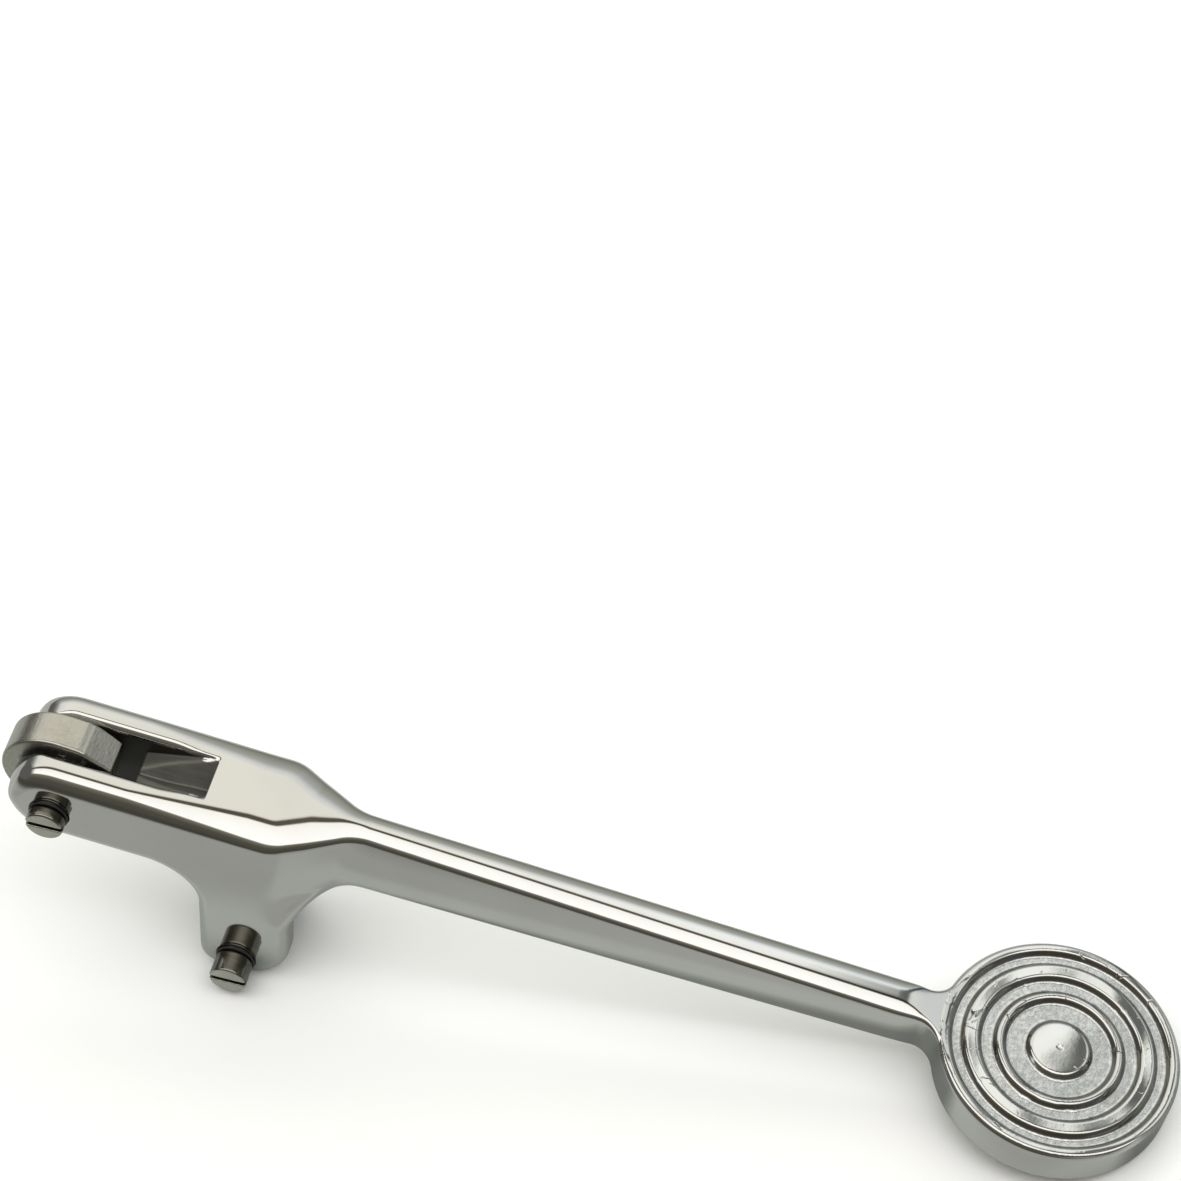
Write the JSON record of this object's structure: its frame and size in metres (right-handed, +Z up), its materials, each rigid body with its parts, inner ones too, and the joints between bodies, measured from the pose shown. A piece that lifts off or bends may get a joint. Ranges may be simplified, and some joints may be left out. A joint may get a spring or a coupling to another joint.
{
  "type": "winch handle",
  "caption": "Polished winch handle: a forked lever with a pivoting cam, a slim arm ending in a round ring-grooved push pad, and two lugs with a pin below.",
  "frame": {"origin": "on the floor, under the middle of the whole part", "axes": "+Z up, with the handle standing on its lugs and on the pad's far edge; +X from the fork to the pad; the pins run along Y, and their free ends point to -Y"},
  "size_m": [0.2445, 0.05, 0.0598],
  "materials": {
    "polished_casting": "mirror-polished stainless casting, with a rougher cast grain left in the pad's grooves",
    "brushed_cam": "brushed across the rim, plain on the sides",
    "pin_steel": "turned, with a milled driver slot",
    "black_rubber": "smooth matt black",
    "washer_steel": "plain stainless"
  },
  "bodies": {
    "lever": {"lever_body": "polished_casting", "pivot_pin": "pin_steel", "lug_pin": "pin_steel", "pivot_pin_ring": "black_rubber", "lug_pin_ring": "black_rubber", "cam_washer_near": "washer_steel", "cam_washer_far": "washer_steel"},
    "cam": {"cam": "brushed_cam"}
  },
  "joints": [
    {"name": "cam_pivot", "type": "hinge", "parent": "lever", "child": "cam", "pos_m": [-0.10964, 0, 0.04624], "axis": [0, 1, 0], "range_deg": [-60, 60]}
  ]
}
